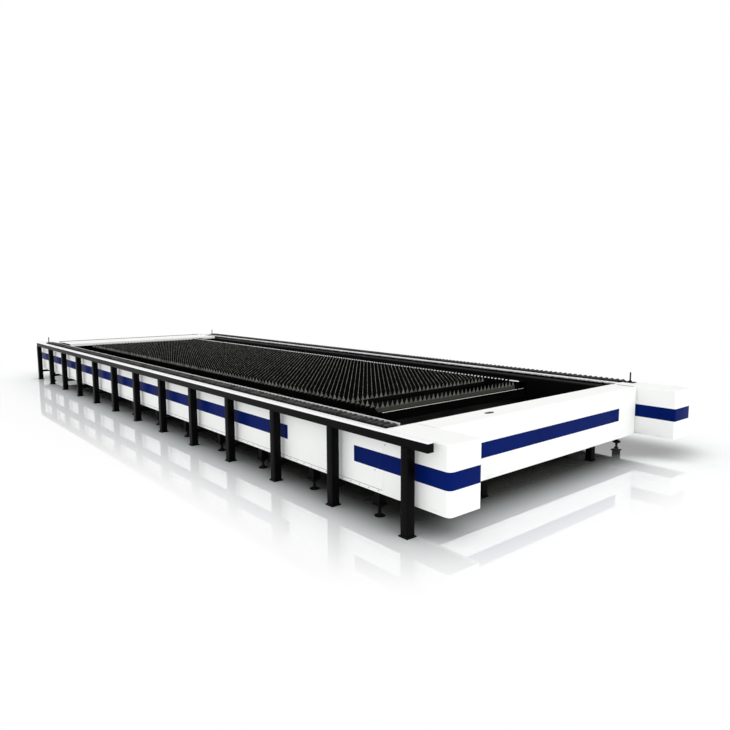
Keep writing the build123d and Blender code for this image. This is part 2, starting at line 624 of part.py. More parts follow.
ARM_X = POST_X[1:]
ARM_START = RAIL_Y + POST_SIZE / 2
ARM_END = across(LEFT, ARM_REACH)
with BuildPart() as post_arms:
    for x in ARM_X:
        with BuildSketch(plane_across(x, ARM_START, ARM_TOP - ARM_SIZE / 2)):
            tube_section(ARM_SIZE, ARM_SIZE, ARM_WALL)
    extrude(amount=ARM_END - ARM_START)
    with BuildSketch(Plane.XY.offset(ARM_TOP)):
        with Locations(*[(x, ARM_END - ARM_SIZE / 2) for x in ARM_X]):
            tube_section(ARM_SIZE, ARM_SIZE, ARM_WALL)
    extrude(amount=BEAM_BOTTOM - ARM_TOP)
save(post_arms.part, "post_arms")
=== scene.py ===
"""Dresses the bed of a fiber laser cutting machine: finishes, slats, bellows, rail, caps, feet and studio."""

import logging
import math
from dataclasses import dataclass
from enum import Enum
from typing import Any, Callable, Iterable, Iterator, Sequence

import bmesh
import bpy
from mathutils import Matrix, Vector


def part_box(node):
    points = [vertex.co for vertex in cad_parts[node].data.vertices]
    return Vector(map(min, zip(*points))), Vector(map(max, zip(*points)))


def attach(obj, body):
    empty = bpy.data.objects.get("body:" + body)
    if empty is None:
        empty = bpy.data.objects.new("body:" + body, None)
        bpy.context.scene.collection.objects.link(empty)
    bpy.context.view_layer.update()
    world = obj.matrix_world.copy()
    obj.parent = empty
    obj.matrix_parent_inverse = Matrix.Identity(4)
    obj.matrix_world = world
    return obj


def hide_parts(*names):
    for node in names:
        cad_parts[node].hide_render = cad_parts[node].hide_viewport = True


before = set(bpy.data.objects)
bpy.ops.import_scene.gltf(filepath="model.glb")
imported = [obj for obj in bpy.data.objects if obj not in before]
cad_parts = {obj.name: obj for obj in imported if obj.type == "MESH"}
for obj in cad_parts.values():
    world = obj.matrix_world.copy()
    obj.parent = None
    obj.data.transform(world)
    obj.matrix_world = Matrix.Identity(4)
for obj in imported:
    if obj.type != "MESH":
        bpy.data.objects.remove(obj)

LOG = logging.getLogger("laser_bed")
Colour = tuple[float, float, float]
Point = tuple[float, float, float]
Profile = Sequence[tuple[float, float]]
Piece = bpy.types.Object
Material = bpy.types.Material
Test = Callable[[Vector, Any], bool]

BED_BODY = "bed"
FEET_PER_SIDE = 12
SCREW_RADIUS = 0.006
SCREW_HEIGHT = 0.295
SCREW_PITCH = 0.150

# Margins for selecting by place and for merging, and limits for upright edges and level faces.
HAIR = 0.0001
TIGHT = 0.0005
CLOSE = 0.001
MERGE_REACH = 0.0002
DOUBLE_REACH = 0.00005
TALL = 0.1
LEVEL = 0.9


class Side(Enum):
    """The two long sides of the bed."""

    LEFT = "left"
    RIGHT = "right"


class End(Enum):
    """The two ends of the bed."""

    NEAR = "front"
    FAR = "rear"


class Slot(Enum):
    """The finishes that the record lets a user change."""

    BEAM_PAINT = "beam_paint"
    COVER_PAINT = "cover_paint"
    BLACK_PAINT = "black_paint"
    RAIL_STEEL = "rail_steel"
    BELLOWS_FABRIC = "bellows_fabric"
    SLAT_STEEL = "slat_steel"
    SEAL_RUBBER = "seal_rubber"
    FOOT_STEEL = "foot_steel"


def feet() -> Iterator[tuple[str, Point]]:
    """Go through the levelling feet.

    Yields:
        Each foot's node and the middle of its underside.
    """
    for side in Side:
        for number in range(1, FEET_PER_SIDE + 1):
            node = f"{side.value}_levelling_foot_{number:02d}"
            low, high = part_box(node)
            yield node, ((low[0] + high[0]) / 2, (low[1] + high[1]) / 2, low[2])


def joined(operation: str, swapped: bool = False) -> Callable[..., "Value"]:
    """Make a method of Value that adds a Math node.

    Args:
        operation: the Math node's operation.
        swapped: whether the other value comes first.

    Returns:
        The method, which takes another value where the operation needs one.
    """

    def method(self: "Value", other: Any = 0.0) -> "Value":
        """Join this value with another."""
        first, second = (other, self) if swapped else (self, other)
        node = self.graph.add("ShaderNodeMath", {0: first, 1: second}, operation=operation)
        return Value(self.graph, node.outputs[0])

    return method


class Value:
    """A number in a material or a world, whose arithmetic adds Math nodes."""

    def __init__(self, graph: "Nodes", socket: Any) -> None:
        """Wrap a socket of a graph."""
        self.graph = graph
        self.socket = socket

    __add__ = __radd__ = joined("ADD")
    __mul__ = __rmul__ = joined("MULTIPLY")
    __sub__ = joined("SUBTRACT")
    __rsub__ = joined("SUBTRACT", swapped=True)
    __gt__ = joined("GREATER_THAN")
    __lt__ = joined("LESS_THAN")
    __abs__ = joined("ABSOLUTE")
    larger = joined("MAXIMUM")
    root = joined("SQRT")
    wave = joined("PINGPONG")

    def beyond(self, start: float) -> "Value":
        """How far this value is past a start, or zero."""
        return (self - start).larger(0.0)

    def within(self, low: float, high: float) -> "Value":
        """One where this value lies between two limits."""
        return (self > low) * (self < high)

    def ramp(self, low: float, high: float) -> "Value":
        """Soft step from zero at the low limit to one at the high one.

        Args:
            low: where the step starts.
            high: where the step ends.

        Returns:
            The step, held between zero and one.
        """
        limits = {0: self, 1: low, 2: high}
        node = self.graph.add("ShaderNodeMapRange", limits, interpolation_type="SMOOTHSTEP")
        return Value(self.graph, node.outputs[0])


class Nodes:
    """The nodes of a material or a world."""

    def __init__(self, owner: Any) -> None:
        """Empty the tree of a material or a world."""
        owner.use_nodes = True
        self.tree = owner.node_tree
        self.tree.nodes.clear()

    def feed(self, socket: Any, value: Any) -> None:
        """Link a value to a socket, or set it there.

        Args:
            socket: an input of a node.
            value: a number, a colour, a value or a socket.
        """
        if isinstance(value, Value):
            self.tree.links.new(value.socket, socket)
        elif isinstance(value, bpy.types.NodeSocket):
            self.tree.links.new(value, socket)
        elif socket.type == "RGBA" and len(value) == 3:
            socket.default_value = (*value, 1.0)
        else:
            socket.default_value = value

    def add(self, kind: str, sockets: dict[Any, Any] | None = None, **settings: Any) -> Any:
        """Add a node.

        Args:
            kind: the node's type.
            sockets: values or links of its inputs, by name or number.
            settings: properties of the node, set before its inputs.

        Returns:
            The node.
        """
        node = self.tree.nodes.new(kind)
        for name, value in settings.items():
            setattr(node, name, value)
        for key, value in (sockets or {}).items():
            self.feed(node.inputs[key], value)
        return node


class Graph(Nodes):
    """The nodes of one material."""

    def __init__(self, name: str) -> None:
        """Start a material that has a Principled shader and an output."""
        self.material = bpy.data.materials.new(name)
        super().__init__(self.material)
        self.shader = self.add("ShaderNodeBsdfPrincipled")
        self.output = self.add("ShaderNodeOutputMaterial", {"Surface": self.shader.outputs[0]})

    def place(self) -> tuple[Value, Value, Value]:
        """Object coordinates as three values."""
        spot = self.add("ShaderNodeTexCoord").outputs["Object"]
        parts = self.add("ShaderNodeSeparateXYZ", {0: spot})
        return tuple(Value(self, parts.outputs[i]) for i in range(3))

    def facing_up(self) -> Value:
        """One where the surface looks upwards."""
        normal = self.add("ShaderNodeNewGeometry").outputs["Normal"]
        return Value(self, self.add("ShaderNodeSeparateXYZ", {0: normal}).outputs[2]) > LEVEL

    def noise(self, scale: float, detail: float = 3.0, stretch: Point = (1.0, 1.0, 1.0)) -> Value:
        """Noise over the piece.

        Args:
            scale: features to the metre.
            detail: layers of finer noise.
            stretch: scale along each axis.

        Returns:
            The noise, about a half on the whole.
        """
        spot = self.add("ShaderNodeTexCoord").outputs["Object"]
        mapped = self.add("ShaderNodeMapping", {"Vector": spot, "Scale": stretch}).outputs[0]
        node = self.add("ShaderNodeTexNoise", {"Vector": mapped, "Scale": scale, "Detail": detail})
        return Value(self, node.outputs[0])

    def blend(self, share: Any, first: Any, second: Any) -> Any:
        """Mix two colours.

        Args:
            share: how much of the second colour shows.
            first: the colour at a share of zero.
            second: the colour at a share of one.

        Returns:
            The mixed colour's socket.
        """
        node = self.add("ShaderNodeMix", {0: share, 6: first, 7: second}, data_type="RGBA")
        return node.outputs[2]

    def bump(self, height: Value, strength: float, distance: float) -> Any:
        """Normal socket of a surface raised by a height."""
        sockets = {"Strength": strength, "Distance": distance, "Height": height}
        return self.add("ShaderNodeBump", sockets).outputs[0]

    def surface(self, **sockets: Any) -> Material:
        """Set the shader's sockets, whose names use underscores for spaces.

        Returns:
            The finished material.
        """
        for name, value in sockets.items():
            self.feed(self.shader.inputs[name.replace("_", " ")], value)
        return self.material


@dataclass(frozen=True)
class CoverPaint:
    """White powder coat with a blue stripe, panel joints, hem screws and a painted shade line along each
    panel's folded border.
    """

    white: Colour = (0.885, 0.895, 0.880)
    stripe: Colour = (0.0009, 0.0085, 0.092)
    joint: Colour = (0.10, 0.10, 0.11)
    soil: Colour = (0.38, 0.36, 0.33)
    rim_shade: Colour = (0.40, 0.40, 0.40)
    stripe_low: float = 0.530
    stripe_high: float = 0.707
    left_from: float = -2.42
    right_from: float = 2.59
    plain_side: float = -2.40
    plain_left: tuple[float, float] = (5.018, 6.316)
    plain_end: float = 6.7
    plain_front: tuple[float, float] = (1.639, 2.150)
    panels_to: float = 6.78
    joint_pitch: float = 1.180
    joint_start: float = 0.060
    joint_half: float = 0.0018
    rim_start: float = 0.194
    rim_half: float = 0.0025
    hem_line: float = 0.316
    hem_half: float = 0.002
    screw_start: float = -0.03
    soil_height: tuple[float, float] = (0.27, 0.42)

    def build(self) -> Material:
        """Returns: the paint's material."""
        g = Graph("cover_paint_white")
        x, y, z = g.place()
        side = (y < self.left_from) + (y > self.right_from)
        bare = (y < self.plain_side) * x.within(*self.plain_left)
        bare = bare + (x > self.plain_end) * y.within(*self.plain_front)
        stripe = z.within(self.stripe_low, self.stripe_high) * (1.0 - bare)
        middle = abs(x) < self.panels_to
        joint = side * middle * ((x - self.joint_start).wave(self.joint_pitch / 2) < self.joint_half)
        # Painted shade: a grey line along each panel's folded border.
        rim_shade = side * middle * ((x - self.rim_start).wave(self.joint_pitch / 2) < self.rim_half)
        hem = side * middle * (abs(z - self.hem_line) < self.hem_half)
        across = (x - self.screw_start).wave(SCREW_PITCH / 2)
        up = z - SCREW_HEIGHT
        screw = (y > self.right_from) * middle * ((across * across + up * up) < SCREW_RADIUS**2)
        dark = (joint + hem + screw) > 0.5
        peel = g.noise(420.0, 2.0)
        cloud = g.noise(1.3, 4.0)
        soil = (1.0 - z.ramp(*self.soil_height)) * g.noise(9.0, 5.0, (0.5, 0.5, 2.0)).ramp(0.50, 0.72)
        white = g.blend(cloud.ramp(0.3, 0.7), self.white, tuple(c * 0.975 for c in self.white))
        white = g.blend(soil * 0.12, white, self.soil)
        white = g.blend(rim_shade * 0.45, white, self.rim_shade)
        blue = g.blend(cloud.ramp(0.3, 0.7), self.stripe, tuple(c * 1.25 for c in self.stripe))
        colour = g.blend(dark, g.blend(stripe, white, blue), self.joint)
        return g.surface(
            Base_Color=colour,
            Roughness=0.30 + 0.12 * cloud + 0.10 * soil - 0.06 * stripe,
            Normal=g.bump(peel + 6.0 * cloud - 4.0 * dark, 0.10, 0.0012),
            Specular_IOR_Level=0.02,
        )


@dataclass(frozen=True)
class MachinePaint:
    """Dark machine paint with a fine orange peel and scuffs."""

    name: str
    colour: Colour
    scuff: Colour
    gloss: float
    dust: Colour = (0.20, 0.19, 0.18)

    def build(self) -> Material:
        """Returns: the paint's material."""
        g = Graph(self.name)
        cloud = g.noise(2.2, 5.0)
        scuff = g.noise(34.0, 8.0, (0.6, 0.6, 1.0)).ramp(0.62, 0.72) * cloud.ramp(0.45, 0.65)
        dust = g.facing_up() * g.noise(5.0, 6.0).ramp(0.35, 0.75)
        shade = g.blend(cloud.ramp(0.3, 0.7), self.colour, tuple(c * 1.5 for c in self.colour))
        shade = g.blend(scuff * 0.5, shade, self.scuff)
        shade = g.blend(dust * 0.03, shade, self.dust)
        return g.surface(
            Base_Color=shade,
            Roughness=self.gloss + 0.16 * cloud + 0.2 * dust,
            Normal=g.bump(g.noise(500.0, 2.0) + 2.0 * cloud, 0.15, 0.001),
            Specular_IOR_Level=0.04,
        )


@dataclass(frozen=True)
class GroundSteel:
    """Bright ground steel with lines along the bed."""

    colour: Colour = (0.92, 0.925, 0.93)
    line: Colour = (0.74, 0.75, 0.77)
    metal: float = 0.6

    def build(self) -> Material:
        """Returns: the steel's material."""
        g = Graph("ground_steel")
        line = g.noise(900.0, 4.0, (0.01, 1.0, 1.0))
        wear = g.noise(3.0, 5.0, (0.4, 4.0, 1.0))
        return g.surface(
            Base_Color=g.blend(line.ramp(0.42, 0.70) * 0.6, self.colour, self.line),
            Metallic=self.metal,
            Roughness=0.22 + 0.18 * wear + 0.06 * line,
            Normal=g.bump(line, 0.08, 0.0004),
        )


@dataclass(frozen=True)
class SlatSteel:
    """Mill steel of the pallet, with painted shade below the teeth's tips, tips lighter from wear and painted
    light, painted light on the outer rows and the front slat, and a painted highlight on top faces.
    """

    name: str
    colour: Colour
    deep: Colour
    # worn_and_lit: the tips' colour, part wear and part painted light; fade: the heights from painted shade
    # up to the lit tips.
    worn_and_lit: Colour
    fade: tuple[float, float]
    highlight_x: tuple[float, float] = (0.0, 0.0)
    # bright: the painted highlight on top faces within highlight_x.
    bright: Colour = (0.85, 0.85, 0.83)
    front_from: float = 9.0
    # front: the front slat's colour, painted lighter as painted light.
    front: Colour = (0.058, 0.060, 0.049)
    end_from: float = -9.0
    rows_from: float = 9.0
    # outer_lit_drop: how much further down the painted light reaches on the outer rows and the left ends.
    outer_lit_drop: float = 0.058

    def build(self) -> Material:
        """Returns: the steel's material."""
        g = Graph(self.name)
        x, y, z = g.place()
        cloud = g.noise(3.5, 6.0, (1.0, 1.0, 2.0))
        spatter = g.noise(140.0, 6.0).ramp(0.56, 0.70)
        tooth = g.noise(17.0, 2.0, (1.0, 1.0, 0.2)).ramp(0.30, 0.70)
        # Painted light reaches further down the teeth on the outer rows and the left ends; inside the field
        # only the tips are lit, with painted shade below.
        outer = ((y < self.end_from) + (x > self.rows_from)) > 0.5
        tip = (z + self.outer_lit_drop * outer).ramp(*self.fade)
        shade = g.blend(cloud.ramp(0.32, 0.68), self.colour, self.deep)
        # Painted light: the front slat's plain part is lighter than the slats behind it.
        front = x > self.front_from
        shade = g.blend(front * 0.9, shade, self.front)
        shade = g.blend(spatter * 0.25, shade, tuple(1.8 * c for c in self.colour))
        # The tips' colour, part wear and part painted light.
        shade = g.blend(tip * (0.35 + 0.65 * tooth) * (1.0 - 0.5 * outer - 0.2 * front), shade, self.worn_and_lit)
        # Painted highlight on the top faces within highlight_x.
        shade = g.blend(g.facing_up() * x.within(*self.highlight_x), shade, self.bright)
        return g.surface(
            Base_Color=shade,
            Roughness=0.50 + 0.25 * cloud - 0.15 * tip,
            Normal=g.bump(spatter + cloud, 0.35, 0.001),
            Specular_IOR_Level=0.0,
        )


@dataclass(frozen=True)
class BellowsFabric:
    """Black coated cloth with a fine weave, and dust on the fold crowns that also serves as a painted
    highlight.
    """

    colour: Colour = (0.0035, 0.0035, 0.0037)
    # dust: the fold crowns' colour, part dust and part painted highlight.
    dust: Colour = (0.16, 0.155, 0.15)
    weave_half: float = 0.0011
    crown: tuple[float, float] = (0.968, 0.990)

    def build(self) -> Material:
        """Returns: the cloth's material."""
        g = Graph("bellows_cloth")
        x, y, z = g.place()
        weave = x.wave(self.weave_half) * y.wave(self.weave_half) * 900000.0
        patch = g.noise(6.0, 6.0)
        # Lighter towards the top of each fold: part dust, part painted highlight.
        crown = z.ramp(*self.crown) * patch.ramp(0.30, 0.65)
        return g.surface(
            Base_Color=g.blend(crown * 0.50, self.colour, self.dust),
            Roughness=0.52 + 0.2 * patch,
            Normal=g.bump(weave + 0.6 * patch, 0.25, 0.0006),
            Specular_IOR_Level=0.10,
        )


@dataclass(frozen=True)
class SealRubber:
    """Matt black rubber profile."""

    colour: Colour = (0.020, 0.020, 0.021)
    bloom: Colour = (0.07, 0.07, 0.072)

    def build(self) -> Material:
        """Returns: the rubber's material."""
        g = Graph("seal_rubber_black")
        bloom = g.noise(14.0, 6.0)
        return g.surface(
            Base_Color=g.blend(bloom.ramp(0.45, 0.75) * 0.4, self.colour, self.bloom),
            Roughness=0.62 + 0.2 * bloom,
            Normal=g.bump(g.noise(300.0, 3.0), 0.2, 0.0006),
        )


def clear() -> None:
    """Leave edit mode and deselect everything."""
    if bpy.context.object and bpy.context.object.mode != "OBJECT":
        bpy.ops.object.mode_set(mode="OBJECT")
    bpy.ops.object.select_all(action="DESELECT")


def activate(piece: Piece) -> None:
    """Select one piece alone."""
    clear()
    piece.select_set(True)
    bpy.context.view_layer.objects.active = piece


def settle(piece: Piece) -> Piece:
    """Put a piece's place, turn and scale into its mesh."""
    activate(piece)
    bpy.ops.object.transform_apply(location=True, rotation=True, scale=True)
    return piece


def block(name: str, low: Sequence[float], high: Sequence[float]) -> Piece:
    """Add a cube between two corners.

    Args:
        name: the piece's name.
        low: its lowest corner.
        high: its highest corner.

    Returns:
        The cube.
    """
    clear()
    size = Vector(high) - Vector(low)
    bpy.ops.mesh.primitive_cube_add(size=1.0, location=(Vector(low) + Vector(high)) / 2)
    piece = bpy.context.object
    piece.name = name
    piece.scale = size
    return settle(piece)


def pick(piece: Piece, kind: str, test: Test) -> int:
    """Enter edit mode and select by place.

    Args:
        piece: the piece to edit.
        kind: VERT, EDGE or FACE.
        test: takes an element's middle and the element, and says whether to select it.

    Returns:
        The number of elements selected.
    """
    activate(piece)
    bpy.ops.object.mode_set(mode="EDIT")
    bpy.ops.mesh.select_mode(type=kind)
    bpy.ops.mesh.select_all(action="DESELECT")
    mesh = bmesh.from_edit_mesh(piece.data)
    found = 0
    for element in {"VERT": mesh.verts, "EDGE": mesh.edges, "FACE": mesh.faces}[kind]:
        corners = [element] if kind == "VERT" else element.verts
        middle = sum((v.co for v in corners), Vector()) / len(corners)
        if test(middle, element):
            element.select_set(True)
            found += 1
    mesh.select_flush_mode()
    bmesh.update_edit_mesh(piece.data)
    return found


def at_top(height: float) -> Test:
    """Test for what lies at a piece's top."""
    return lambda spot, _: spot.z > height - HAIR


def upright(edge: Any) -> bool:
    """Whether an edge runs up by more than a round does."""
    return abs(edge.verts[0].co.z - edge.verts[1].co.z) > TALL


def round_edges(piece: Piece, width: float, steps: int, test: Test) -> None:
    """Bevel the edges that a test selects.

    Args:
        piece: the piece to edit.
        width: the round's size.
        steps: its segments.
        test: says whether an edge is rounded.
    """
    if pick(piece, "EDGE", test):
        bpy.ops.mesh.bevel(offset=width, segments=steps, affect="EDGES", clamp_overlap=False)
    clear()


def shift(piece: Piece, test: Test, move: Sequence[float]) -> None:
    """Move some vertices.

    Args:
        piece: the piece to edit.
        test: says whether a vertex moves.
        move: how far.
    """
    if pick(piece, "VERT", test):
        bpy.ops.transform.translate(value=move)
    clear()


def cut_faces(piece: Piece, test: Test) -> None:
    """Delete some faces.

    Args:
        piece: the piece to edit.
        test: says whether a face goes.
    """
    if pick(piece, "FACE", test):
        bpy.ops.mesh.delete(type="FACE")
    clear()


def modify(piece: Piece, kind: str, **settings: Any) -> None:
    """Add a modifier and apply it.

    Args:
        piece: the piece to change.
        kind: the modifier's type.
        settings: its properties.
    """
    activate(piece)
    modifier = piece.modifiers.new(kind.lower(), kind)
    for name, value in settings.items():
        setattr(modifier, name, value)
    bpy.ops.object.modifier_apply(modifier=modifier.name)


def repeat(piece: Piece, count: int, step: Point, merge: bool = False) -> None:
    """Repeat a piece in a row.

    Args:
        piece: the piece that is repeated.
        count: how many there are in the end.
        step: from one to the next.
        merge: whether neighbours share their edges.
    """
    fixed = {"use_relative_offset": False, "use_constant_offset": True, "constant_offset_displace": step}
    merging = {"use_merge_vertices": merge, "merge_threshold": MERGE_REACH}
    modify(piece, "ARRAY", count=count, **fixed, **merging)


def outward(piece: Piece) -> None:
    """Merge doubles and point all faces outwards.

    Args:
        piece: the piece to mend.
    """
    activate(piece)
    bpy.ops.object.mode_set(mode="EDIT")
    bpy.ops.mesh.select_all(action="SELECT")
    bpy.ops.mesh.remove_doubles(threshold=DOUBLE_REACH)
    bpy.ops.mesh.normals_make_consistent(inside=False)
    clear()


def smooth(piece: Piece, degrees: float = 35.0) -> None:
    """Shade a piece smooth apart from its sharp edges."""
    activate(piece)
    bpy.ops.object.shade_smooth_by_angle(angle=math.radians(degrees))


def turned(name: str, profile: Profile, sides: int) -> Piece:
    """Turn a round piece about the Z axis by extruding a disc.

    Args:
        name: the piece's name.
        profile: radius and height of each step, along the surface.
        sides: how many flats go round it.

    Returns:
        The closed round piece.
    """
    clear()
    radius, height = profile[0]
    bpy.ops.mesh.primitive_circle_add(vertices=sides, radius=radius, fill_type="NGON", location=(0, 0, 0))
    piece = bpy.context.object
    piece.name = name
    bpy.ops.object.mode_set(mode="EDIT")
    bpy.ops.mesh.select_all(action="SELECT")
    bpy.ops.transform.translate(value=(0.0, 0.0, height))
    for next_radius, next_height in profile[1:]:
        move = {"value": (0.0, 0.0, next_height - height)}
        bpy.ops.mesh.extrude_region_move(TRANSFORM_OT_translate=move)
        share = next_radius / radius
        bpy.ops.transform.resize(value=(share, share, 1.0), center_override=(0.0, 0.0, next_height))
        radius, height = next_radius, next_height
    clear()
    outward(piece)
    return piece


def copy(piece: Piece, name: str, move: Point) -> Piece:
    """Copy a piece with its own mesh.

    Args:
        piece: the piece to copy.
        name: the copy's name.
        move: from the piece to the copy.

    Returns:
        The copy.
    """
    activate(piece)
    bpy.ops.object.duplicate(linked=False)
    twin = bpy.context.object
    twin.name = name
    bpy.ops.transform.translate(value=move)
    return settle(twin)


def join(pieces: Sequence[Piece]) -> Piece:
    """Join pieces into the first of them.

    Args:
        pieces: the pieces to join.

    Returns:
        The first piece, with all the meshes.
    """
    activate(pieces[0])
    for piece in pieces[1:]:
        piece.select_set(True)
    bpy.ops.object.join()
    return pieces[0]


def scatter(piece: Piece, name: str, spots: Sequence[Point]) -> Piece:
    """Copy a piece to many spots, and drop the piece itself.

    Args:
        piece: the piece on the origin.
        name: the name of the joined copies.
        spots: where the copies go.

    Returns:
        The copies, joined.
    """
    copies = [copy(piece, f"{piece.name}_{i}", spot) for i, spot in enumerate(spots)]
    bpy.data.objects.remove(piece)
    whole = join(copies)
    whole.name = name
    return whole


class Finishes:
    """All the finishes of the bed, by the record's slots."""

    def __init__(self) -> None:
        """Build each material once."""
        black, black_scuff = (0.0014, 0.0014, 0.0015), (0.012, 0.012, 0.0125)
        beam, beam_scuff = (0.0016, 0.0016, 0.0017), (0.008, 0.008, 0.008)
        foot, foot_scuff = (0.004, 0.004, 0.0042), (0.03, 0.03, 0.03)
        self.cover_paint = CoverPaint().build()
        self.beam_paint = MachinePaint("beam_paint_black", beam, beam_scuff, 0.42).build()
        self.black_paint = MachinePaint("rail_paint_black", black, black_scuff, 0.30).build()
        self.rail_steel = GroundSteel().build()
        black_steel = ((0.003, 0.003, 0.0028), (0.002, 0.002, 0.002), (0.005, 0.005, 0.005), (0.80, 0.95))
        # Painted highlight: a bright band along the top of the black edge strips.
        strip_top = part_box("bellows_edge_strips")[1][2]
        lit_edge = (strip_top - 0.014, strip_top - 0.010)
        self.edging = SlatSteel("edge_strip_steel", *black_steel[:2], (0.62, 0.63, 0.62), lit_edge).build()
        table_low, table_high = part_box("support_slats")
        # The slats get painted shade below their tips, and painted light on the front slat, the outer rows
        # and the left ends.
        self.slat_steel = SlatSteel(
            "slat_steel_dark",
            (0.005, 0.0052, 0.0042),
            (0.0035, 0.0035, 0.003),
            (0.44, 0.44, 0.42),
            (0.920, 0.937),
            front_from=table_high[0] - 0.05,
            rows_from=table_high[0] - 0.65,
            end_from=table_low[1] + 0.085,
        ).build()
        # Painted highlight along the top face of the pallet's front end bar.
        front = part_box("pallet_end_bars")[1][0]
        highlight_x = (front - 0.020, front + 0.01)
        self.pallet = SlatSteel("pallet_steel", *black_steel, highlight_x=highlight_x).build()
        self.channel = SlatSteel("channel_steel", *black_steel).build()
        self.bellows_fabric = BellowsFabric().build()
        self.seal_rubber = SealRubber().build()
        self.foot_steel = MachinePaint("foot_steel_black", foot, foot_scuff, 0.34).build()

    def of_slot(self, slot: Slot) -> Material:
        """The material that has a slot's name here."""
        return getattr(self, slot.value)


@dataclass
class SubAssembly:
    """What every sub-assembly has: the finishes and a way to dress a piece."""

    finishes: Finishes

    def dress(
        self,
        piece: Piece,
        slot: Slot,
        replaces: Iterable[str] = (),
        body: str = BED_BODY,
        material: Material | None = None,
    ) -> None:
        """Give a piece its finish and its body.

        Args:
            piece: the finished mesh.
            slot: the record's slot that its finish comes from.
            replaces: CAD nodes that it stands for.
            body: the CAD body that it moves with.
            material: a finish of its own.
        """
        piece.data.materials.clear()
        piece.data.materials.append(material or self.finishes.of_slot(slot))
        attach(piece, body)
        nodes = tuple(replaces)
        if nodes:
            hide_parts(*nodes)
        LOG.info("%s: %d faces on %s", piece.name, len(piece.data.polygons), body)


@dataclass
class PlainNodes(SubAssembly):
    """CAD nodes that keep their shape and get a better finish."""

    def nodes_of(self) -> dict[Material, list[str]]:
        """Returns: the nodes of each finish."""
        f = self.finishes
        return {
            f.cover_paint: ["left_side_cover", "right_side_cover", "front_cover", "rear_cover"]
            + [f"{end.value}_{side.value}_cap" for end in End for side in Side],
            f.beam_paint: ["left_bed_beam", "right_bed_beam", "front_cross_beam", "rear_cross_beam"]
            + ["bed_cross_members", "bed_legs", "pallet_tracks", "track_stanchions", "scrap_chutes"],
            f.black_paint: ["side_rail", "rail_posts", "post_base_plates", "post_arms"]
            + ["stop_plates", "stop_pins"],
            f.rail_steel: ["rail_running_strip", "guide_rails", "gear_racks"],
            f.edging: ["bellows_edge_strips"],
            f.pallet: ["pallet_end_bars"],
            f.channel: ["pallet_side_tubes", "pallet_cross_bars", "slat_combs", "pallet_side_channel"],
            f.slat_steel: ["support_slats"],
            f.bellows_fabric: ["left_bellows", "right_bellows"],
            f.seal_rubber: ["rear_edge_trim"],
            f.foot_steel: [node for node, _ in feet()],
        }

    def build(self) -> None:
        """Give each CAD node its material."""
        for material, names in self.nodes_of().items():
            for name in names:
                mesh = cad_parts[name].data
                mesh.materials.clear()
                mesh.materials.append(material)
            LOG.info("%s: %d nodes", material.name, len(names))


